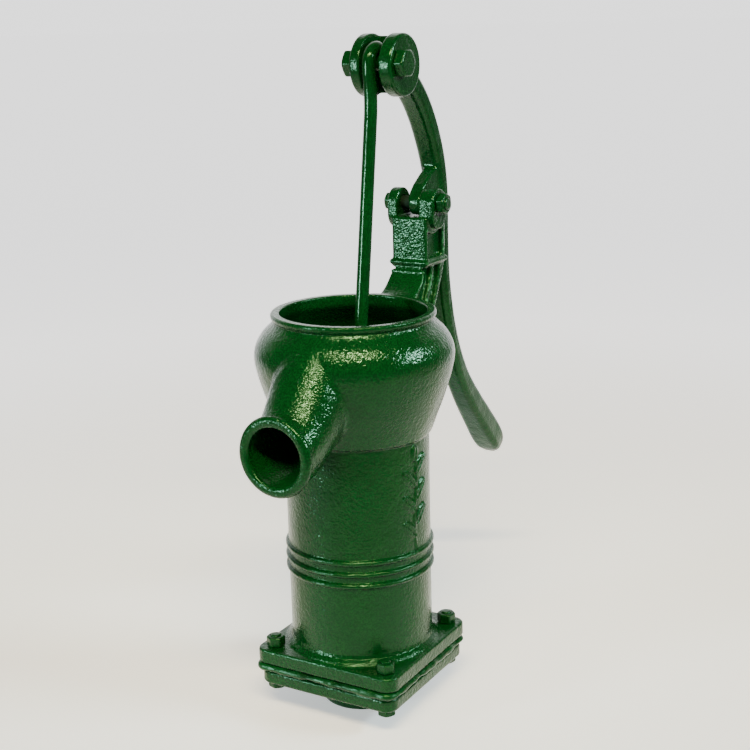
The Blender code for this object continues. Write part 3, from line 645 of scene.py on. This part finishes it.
def make_handle_field():
    bar = Bar(HANDLE_STATIONS)
    web = Outline([(0.1003, 0.3680), (0.1195, 0.3680), (0.1310, 0.3560), (0.1370, 0.3800),
                   (0.1300, 0.4080), (0.1235, 0.4040), (0.1127, 0.3990), (0.1010, 0.3915),
                   (0.0955, 0.3862), (0.0920, 0.3800)])

    def field(x, y, z):
        f = bar(x, y, z, 0.0054)
        drum = rod_x(x, y, z, HEAD_R, -HEAD_HALF, HEAD_HALF, HEAD, 0.0024)
        f = smooth_min(f, drum, 0.0040)
        hub = rod_x(x, y, z, HUB_R, HUB_LEFT, HUB_RIGHT, PIVOT, 0.0014)
        plate = smooth_max(web(y, z), slab(x, HUB_LEFT - 0.0016, HUB_RIGHT), 0.0018)
        f = smooth_min(f, smooth_min(hub, plate, 0.0010), 0.0030)
        slot = block(x, y, z, (HEAD_SLOT[0], 0.0, 0.45), (HEAD_SLOT[1], HEAD_SLOT_FLOOR, 0.53), 0.0016)
        f = smooth_max(f, -slot, 0.0014)
        f = smooth_max(f, PIN_R + GAP - np.hypot(y - PIN.y, z - PIN.z), 0.0005)
        return smooth_max(f, PIVOT_R + GAP - np.hypot(y - PIVOT.y, z - PIVOT.z), 0.0005)

    return field


def arc_points(centre, radius, start, end, steps):
    """Points of an arc in the plane x = 0, angles in degrees from +Y towards +Z."""
    angles = np.radians(np.linspace(start, end, steps + 1))
    return [np.array((0.0, centre.y + radius * math.cos(a), centre.z + radius * math.sin(a))) for a in angles]


def pump_rod():
    """The bent bar: round its lower eye, up the run and over the head pin."""
    eye = arc_points(ROD_EYE, ROD_EYE_R, 30, -230, 48)
    neck = [np.array((0.0, -0.0005, 0.2385)), np.array((0.0, 0.0029, 0.2480))]
    run = curve_through([(0.0029, 0.2480), (0.0157, 0.3227), (0.0258, 0.3880), (0.0338, 0.4400),
                         (0.0358, 0.4560), (0.0357, 0.4700), (0.0345, 0.4800)], 8)[1:]
    run = [np.array((0.0, y, z)) for y, z in run]
    hook = arc_points(PIN, PIN_R + GAP + ROD_R, 178, -15, 36)
    points = np.array(eye + neck + run + hook)
    share = np.clip((points[:, 2] - ROD_EYE.z) / (PIN.z - ROD_EYE.z), 0, 1)
    points[:, 0] = ROD_SIDE * share
    return tube("pump_rod_painted", points, ROD_R, 32)


def tube(name, points, radius, sides):
    """A round bar along points in a plane near x = 0, with domed ends."""
    heading = np.gradient(points, axis=0)
    heading /= np.linalg.norm(heading, axis=1, keepdims=True)
    across = np.array((1.0, 0.0, 0.0)) - heading * heading[:, :1]
    across /= np.linalg.norm(across, axis=1, keepdims=True)
    up = np.cross(heading, across)
    rings = []
    dome = np.linspace(0, math.pi / 2, 7)
    for a in dome[::-1]:
        centre = points[0] - heading[0] * radius * math.sin(a) * DOME_SHARE
        rings.append((centre, 0, radius * max(math.cos(a), 0.02)))
    rings += [(points[i], i, radius) for i in range(1, len(points) - 1)]
    for a in dome:
        centre = points[-1] + heading[-1] * radius * math.sin(a) * DOME_SHARE
        rings.append((centre, -1, radius * max(math.cos(a), 0.02)))
    around = 2 * math.pi * np.arange(sides) / sides
    verts = []
    for centre, i, r in rings:
        verts.append(centre + r * (np.cos(around)[:, None] * across[i] + np.sin(around)[:, None] * up[i]))
    ring = np.arange(sides)
    turned = np.roll(ring, -1)
    faces = []
    for k in range(len(rings) - 1):
        low, high = k * sides, (k + 1) * sides
        faces.append(np.stack([ring + low, turned + low, turned + high, ring + high], 1))
    verts = np.concatenate(verts)
    faces = np.concatenate(faces)
    mesh = mesh_object(name, verts, faces)
    cap_ends(mesh, sides, len(verts))
    return mesh


def cap_ends(obj, sides, count):
    bm = bmesh.new()
    bm.from_mesh(obj.data)
    bm.verts.ensure_lookup_table()
    bm.faces.new([bm.verts[i] for i in reversed(range(sides))])
    bm.faces.new([bm.verts[count - sides + i] for i in range(sides)])
    bmesh.ops.recalc_face_normals(bm, faces=bm.faces)
    bm.to_mesh(obj.data)
    bm.free()
    obj.data.polygons.foreach_set("use_smooth", np.ones(len(obj.data.polygons), bool))


# ---- materials ---------------------------------------------------------------------------------
class Shader:
    """A Principled material built one node at a time."""

    def __init__(self, name):
        self.material = bpy.data.materials.new(name)
        self.material.use_nodes = True
        self.tree = self.material.node_tree
        self.surface = self.tree.nodes["Principled BSDF"]
        self.place = self.tree.nodes.new("ShaderNodeTexCoord").outputs["Object"]

    def node(self, kind, **values):
        node = self.tree.nodes.new(kind)
        for key, value in values.items():
            setattr(node, key, value)
        return node

    def link(self, source, target):
        self.tree.links.new(source, target)

    def feed(self, socket, value):
        if hasattr(value, "is_output"):
            self.link(value, socket)
        else:
            socket.default_value = value

    def noise(self, scale, detail=2.0, roughness=0.5, stretch=None):
        """Noise with features about 1/scale metres across."""
        node = self.node("ShaderNodeTexNoise")
        node.inputs["Scale"].default_value = scale
        node.inputs["Detail"].default_value = detail
        node.inputs["Roughness"].default_value = roughness
        place = self.place
        if stretch:
            mapping = self.node("ShaderNodeMapping")
            mapping.inputs["Scale"].default_value = stretch
            self.link(place, mapping.inputs["Vector"])
            place = mapping.outputs["Vector"]
        self.link(place, node.inputs["Vector"])
        return node.outputs["Fac"]

    def cells(self, scale):
        node = self.node("ShaderNodeTexVoronoi", feature="SMOOTH_F1")
        node.inputs["Scale"].default_value = scale
        node.inputs["Smoothness"].default_value = 0.6
        self.link(self.place, node.inputs["Vector"])
        return node.outputs["Distance"]

    def along(self, direction):
        """How far the place lies from the origin in this direction."""
        node = self.node("ShaderNodeVectorMath", operation="DOT_PRODUCT")
        self.link(self.place, node.inputs[0])
        node.inputs[1].default_value = direction
        return node.outputs["Value"]

    def maths(self, operation, a, b=0.0, c=0.0):
        node = self.node("ShaderNodeMath", operation=operation)
        for socket, value in zip(node.inputs, (a, b, c)):
            self.feed(socket, value)
        return node.outputs["Value"]

    def spread(self, value, low, high, to_low=0.0, to_high=1.0):
        node = self.node("ShaderNodeMapRange", interpolation_type="SMOOTHSTEP")
        for name, number in (("From Min", low), ("From Max", high), ("To Min", to_low), ("To Max", to_high)):
            node.inputs[name].default_value = number
        self.link(value, node.inputs["Value"])
        return node.outputs["Result"]

    def mix(self, share, a, b):
        node = self.node("ShaderNodeMix", data_type="RGBA")
        self.feed(node.inputs["Factor"], share)
        for socket, colour in ((node.inputs[6], a), (node.inputs[7], b)):
            self.feed(socket, colour if hasattr(colour, "is_output") else (*colour, 1.0))
        return node.outputs[2]

    def edges(self, low, high):
        """Near 1 on convex edges of a fine mesh."""
        return self.spread(self.node("ShaderNodeNewGeometry").outputs["Pointiness"], low, high)

    def bump(self, height, distance, strength=1.0, normal=None):
        node = self.node("ShaderNodeBump")
        node.inputs["Distance"].default_value = distance
        node.inputs["Strength"].default_value = strength
        self.link(height, node.inputs["Height"])
        if normal is not None:
            self.link(normal, node.inputs["Normal"])
        return node.outputs["Normal"]

    def finish(self, colour, roughness, normal, metallic=0.0, specular=0.5, tint=(1.0, 1.0, 1.0)):
        self.feed(self.surface.inputs["Base Color"], colour)
        self.feed(self.surface.inputs["Roughness"], roughness)
        self.link(normal, self.surface.inputs["Normal"])
        self.surface.inputs["Metallic"].default_value = metallic
        self.surface.inputs["Specular IOR Level"].default_value = specular
        self.surface.inputs["Specular Tint"].default_value = (*tint, 1.0)
        return self.material


GREEN_LOW = (0.0008, 0.015, 0.0024)
GREEN_DEEP = (0.0013, 0.025, 0.0042)
GREEN_MID = (0.0018, 0.033, 0.0054)
GREEN_WORN = (0.0450, 0.210, 0.0850)
GLINT = 0.24
GLINT_TINT = (0.50, 1.0, 0.64)
# painted shade: the colour that darkens the fulcrum bolt's shank where it lies in the shadowed slot between
# the ears
SLOT_SHADE_COLOUR = (0.0030, 0.0060, 0.0040)
SOFT_EDGE = 0.0006
FLOOR_GLOW = 1.6
FAN_FOOT = 1.1
WALL_GLOW = 1.95
WALL_AHEAD = (0.42, 0.92)
ROOM_GLOW = 0.08


def enamel(name, pebble=1.0, waves=1.0, gloss=0.10, shaded_band=None):
    """Glossy green enamel over a sand casting. pebble is how strongly the sand shows through.
    The last argument is the (lowest, highest) x of a dark band of painted shade, for the shadow on the bolt
    in the slot between the ears."""
    s = Shader(name)
    grain = s.noise(900.0, 0.0)
    lumps = s.noise(400.0, 0.0)
    patch = s.spread(s.noise(34.0, 2.0), 0.34, 0.66, 0.60, 1.10)
    normal = s.bump(s.noise(75.0, 1.0), 0.0009 * waves, 1.0)
    normal = s.bump(lumps, 0.00028 * pebble, 1.0, normal)
    normal = s.bump(s.maths("MULTIPLY", grain, patch), 0.00028 * pebble, 1.0, normal)
    shade = s.mix(s.spread(s.noise(30.0, 4.0), 0.30, 0.72), GREEN_DEEP, GREEN_MID)
    shade = s.mix(s.spread(grain, 0.40, 0.60, 0.85, 0.0), shade, GREEN_LOW)
    worn = s.maths("MULTIPLY", s.edges(0.53, 0.62), s.spread(s.noise(160.0, 3.0), 0.42, 0.62))
    colour = s.mix(s.maths("MULTIPLY", worn, 0.5), shade, GREEN_WORN)
    roughness = s.spread(s.noise(95.0, 3.0), 0.30, 0.72, gloss, gloss + 0.08)
    # painted shade: a dark, duller band across the slot between the ears stands for the shadow on the bolt's
    # shank there
    if shaded_band:
        apart = s.node("ShaderNodeSeparateXYZ")
        s.link(s.place, apart.inputs["Vector"])
        across = apart.outputs["X"]
        dark = s.maths("MULTIPLY", s.spread(across, shaded_band[0] - SOFT_EDGE, shaded_band[0]),
                       s.spread(across, shaded_band[1], shaded_band[1] + SOFT_EDGE, 1.0, 0.0))
        colour = s.mix(dark, colour, SLOT_SHADE_COLOUR)
        roughness = s.maths("MAXIMUM", roughness, s.maths("MULTIPLY", dark, 0.75))
    return s.finish(colour, roughness, normal, specular=GLINT, tint=GLINT_TINT)


def painted_leather(name):
    """The joint leather's pressed edge under a thin, cracked coat of the same green."""
    s = Shader(name)
    layers = s.noise(420.0, 3.0, 0.6, stretch=(0.35, 0.35, 2.2))
    normal = s.bump(s.noise(120.0, 3.0), 0.0011, 0.6)
    normal = s.bump(layers, 0.00060, 0.5, normal)
    bare = s.spread(s.noise(210.0, 4.0, 0.6), 0.64, 0.74)
    shade = s.mix(s.spread(s.noise(60.0, 3.0), 0.3, 0.7), GREEN_LOW, GREEN_MID)
    colour = s.mix(s.maths("MULTIPLY", bare, 0.20), shade, (0.060, 0.050, 0.022))
    roughness = s.spread(s.noise(180.0, 2.0), 0.3, 0.7, 0.14, 0.30)
    return s.finish(colour, roughness, normal, specular=GLINT, tint=GLINT_TINT)


def leather(name):
    s = Shader(name)
    grain = s.cells(700.0)
    normal = s.bump(grain, 0.00040, 0.6)
    shade = s.mix(s.spread(s.noise(70.0, 4.0), 0.3, 0.7), (0.105, 0.050, 0.022), (0.230, 0.125, 0.058))
    colour = s.mix(s.edges(0.52, 0.60), shade, (0.060, 0.032, 0.018))
    return s.finish(colour, s.spread(grain, 0.1, 0.6, 0.52, 0.78), normal, specular=0.35)


def bare_iron(name):
    s = Shader(name)
    sand = s.noise(520.0, 3.0, 0.6)
    normal = s.bump(sand, 0.00070, 0.55)
    rust = s.spread(s.noise(120.0, 4.0, 0.6), 0.56, 0.70)
    colour = s.mix(s.maths("MULTIPLY", rust, 0.6), (0.055, 0.054, 0.053), (0.110, 0.045, 0.020))
    return s.finish(colour, s.spread(sand, 0.3, 0.7, 0.48, 0.72), normal, metallic=0.6)


def turned_metal(name, colour_low, colour_high, gloss):
    """Brass or steel turned on a lathe, with its fine rings and a dull film."""
    s = Shader(name)
    rings = s.noise(260.0, 2.0, 0.5, stretch=(0.15, 0.15, 6.0))
    normal = s.bump(rings, 0.00018, 0.5)
    film = s.spread(s.noise(85.0, 4.0, 0.6), 0.35, 0.68)
    colour = s.mix(film, colour_low, colour_high)
    return s.finish(colour, s.spread(rings, 0.3, 0.7, gloss, gloss + 0.18), normal, metallic=1.0)


def floor_material():
    """A pale matt floor that glows with painted light, in a fan behind the pump and a little round it."""
    s = Shader("studio_floor")
    tone = s.mix(s.noise(3.0, 2.0), (0.70, 0.70, 0.69), (0.74, 0.74, 0.73))
    apart = s.node("ShaderNodeVectorMath", operation="LENGTH")
    s.link(s.place, apart.inputs[0])
    apart = apart.outputs["Value"]
    ahead = s.along(AHEAD)
    reach = s.maths("MAXIMUM", s.maths("ADD", ahead, FAN_FOOT), 0.1)
    fan = s.maths("DIVIDE", s.maths("ABSOLUTE", s.along(ASIDE)), reach)
    glow = s.maths("MULTIPLY", s.spread(apart, 0.15, 1.40), s.spread(ahead, -0.20, 0.45))
    glow = s.maths("MULTIPLY", glow, s.spread(fan, 0.34, 0.80, 1.0, 0.0))
    # painted pool of light round the pump's foot, fading outwards
    glow = s.maths("ADD", glow, s.spread(apart, 0.10, 1.30, 0.34, 0.0))
    s.surface.inputs["Emission Color"].default_value = (1.0, 1.0, 1.0, 1.0)
    s.link(s.maths("MULTIPLY", glow, FLOOR_GLOW), s.surface.inputs["Emission Strength"])
    return s.finish(tone, 0.75, s.bump(s.noise(160.0, 2.0), 0.0002, 0.15), specular=0.2)


# ---- putting it together -----------------------------------------------------------------------
def show(obj, node, body, material):
    """obj stands for a CAD node, rides on its body and takes this material."""
    obj.data.materials.append(material)
    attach(obj, body)
    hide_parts(node)


def build_castings():
    rough = enamel("enamel_on_body", 1.0, 0.5, 0.09)
    smooth = enamel("enamel_on_handle", 0.60, 0.8, 0.13)
    plain = enamel("enamel_on_rod", 0.25, 0.4, 0.10)
    small = enamel("enamel_on_fasteners", 0.60, 0.5, 0.16)
    cell = 1.0
    body = cast("pump_body_casting", make_body_field(), (-0.0755, MOUTH_Y - 0.001, FLANGE_LOW),
                (0.0755, 0.121, PIVOT.z + EAR_R), (0.00130 * cell, 0.00130 * cell, 0.00085 * cell))
    show(body, "pump_body", "pump", rough)
    base = cast("base_plate_casting", base_field, (-0.0600, -0.0600, 0.0), (0.0600, 0.0600, BASE_TOP),
                (0.0013 * cell, 0.0013 * cell, 0.0008 * cell))
    show(base, "base_casting", "pump", rough)
    edge = painted_leather("green_painted_leather_edge")
    gasket = cast("joint_leather", gasket_field, (-0.0640, -0.0640, GASKET_LOW), (0.0640, 0.0640, GASKET_TOP),
                  (0.0012 * cell, 0.0012 * cell, 0.0006 * cell))
    show(gasket, "valve_gasket", "pump", edge)
    handle = cast("handle_casting", make_handle_field(), (-0.0180, 0.0315, 0.1300), (0.0180, 0.2420, 0.5085),
                  0.00105 * cell)
    show(handle, "handle", "handle", smooth)
    show(pump_rod(), "pump_rod", "rod", plain)
    for piece, node in flange_fasteners():
        show(piece, node, "pump", small)
    # the fulcrum bolt's shank gets painted shade across the slot between the ears
    slot_shaded_enamel = enamel("enamel_on_fulcrum_bolt", 0.60, 0.5, 0.16, (EAR_IN_LEFT, EAR_IN_RIGHT))
    for piece, node in cross_fasteners():
        body = "handle" if node.startswith("head") else "pump"
        show(piece, node, body, slot_shaded_enamel if node == "fulcrum_bolt" else small)


def finish_inner_parts():
    """The parts inside keep their CAD shapes and get their own materials."""
    hide = leather("valve_leather_hide")
    iron = bare_iron("bare_iron_sand_cast")
    brass = turned_metal("brass_turned", (0.30, 0.19, 0.065), (0.56, 0.39, 0.14), 0.24)
    steel = turned_metal("steel_turned", (0.24, 0.235, 0.23), (0.40, 0.40, 0.39), 0.26)
    finishes = {"foot_valve_flap": hide, "cup_leather": hide, "foot_valve_weight": iron, "plunger_cage": iron,
                "foot_valve_screw": steel, "foot_valve_nut": steel, "plunger_pin": steel,
                "plunger_follower": brass, "plunger_valve": brass}
    for node, material in finishes.items():
        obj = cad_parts[node]
        obj.data.materials.clear()
        obj.data.materials.append(material)


def add_floor():
    mesh = bpy.data.meshes.new("studio_floor")
    bm = bmesh.new()
    bmesh.ops.create_circle(bm, cap_ends=True, radius=60.0, segments=96)
    bm.to_mesh(mesh)
    bm.free()
    floor = bpy.data.objects.new("studio_floor", mesh)
    bpy.context.scene.collection.objects.link(floor)
    mesh.materials.append(floor_material())


def camera_axes():
    turn, dip, roll = CAMERA_TURN, CAMERA_DIP, CAMERA_ROLL
    forward = Vector((-math.sin(turn) * math.cos(dip), math.cos(turn) * math.cos(dip), -math.sin(dip)))
    level = Vector(ASIDE)
    top = level.cross(forward)
    right = level * math.cos(roll) + top * math.sin(roll)
    up = top * math.cos(roll) - level * math.sin(roll)
    return right, up, forward


def add_camera():
    data = bpy.data.cameras.new("camera")
    data.sensor_width = 36.0
    data.lens = CAMERA_LENS
    data.clip_start = 0.01
    camera = bpy.data.objects.new("camera", data)
    right, up, forward = camera_axes()
    turned = Matrix((right, up, -forward)).transposed().to_4x4()
    camera.matrix_world = Matrix.Translation(CAMERA_AT) @ turned
    bpy.context.scene.collection.objects.link(camera)
    bpy.context.scene.camera = camera


def add_panel(name, place, target, size, beam, power, colour):
    """A soft box. A narrow beam keeps its light off the floor in front of the pump."""
    data = bpy.data.lights.new(name, "AREA")
    data.shape = "RECTANGLE"
    data.size, data.size_y = size
    data.spread = math.radians(beam)
    data.energy = power
    data.color = colour
    light = bpy.data.objects.new(name, data)
    light.location = place
    light.rotation_euler = (Vector(target) - Vector(place)).to_track_quat("-Z", "Y").to_euler()
    light.visible_camera = False
    bpy.context.scene.collection.objects.link(light)


AIM = Vector((0.0, 0.02, 0.27))


def from_camera(swing, height, distance):
    """A place at this angle to the right of the camera and this angle above the floor, in degrees."""
    swing, height = math.radians(swing), math.radians(height)
    flat = Vector(ASIDE) * math.sin(swing) - Vector(AHEAD) * math.cos(swing)
    return AIM + (flat * math.cos(height) + Vector((0.0, 0.0, math.sin(height)))) * distance


def add_lights():
    add_panel("warm_strip", from_camera(0.0, 50.0, 1.7), AIM, (1.50, 0.06), 55.0, 11.0, (1.0, 0.82, 0.48))
    add_panel("cool_right", from_camera(76.0, 25.0, 1.8), AIM, (0.70, 0.20), 50.0, 4.3, (0.76, 0.95, 1.0))
    add_panel("cool_left", from_camera(-60.0, 6.0, 1.8), AIM, (0.30, 0.60), 50.0, 3.2, (0.76, 0.96, 1.0))


def add_air():
    """White studio walls beside and behind the pump, and a dim room behind the camera."""
    world = bpy.data.worlds.new("studio_air")
    world.use_nodes = True
    tree = world.node_tree
    place = tree.nodes.new("ShaderNodeTexCoord").outputs["Generated"]
    ahead = tree.nodes.new("ShaderNodeVectorMath")
    ahead.operation = "DOT_PRODUCT"
    ahead.inputs[1].default_value = AHEAD
    tree.links.new(place, ahead.inputs[0])
    spread = tree.nodes.new("ShaderNodeMapRange")
    spread.interpolation_type = "SMOOTHSTEP"
    low, high = WALL_AHEAD
    for name, number in (("From Min", low), ("From Max", high), ("To Min", ROOM_GLOW), ("To Max", WALL_GLOW)):
        spread.inputs[name].default_value = number
    tree.links.new(ahead.outputs["Value"], spread.inputs["Value"])
    background = tree.nodes["Background"]
    background.inputs["Color"].default_value = (1.0, 1.0, 1.0, 1.0)
    tree.links.new(spread.outputs["Result"], background.inputs["Strength"])
    bpy.context.scene.world = world


build_castings()
finish_inner_parts()
add_floor()
add_camera()
add_lights()
add_air()
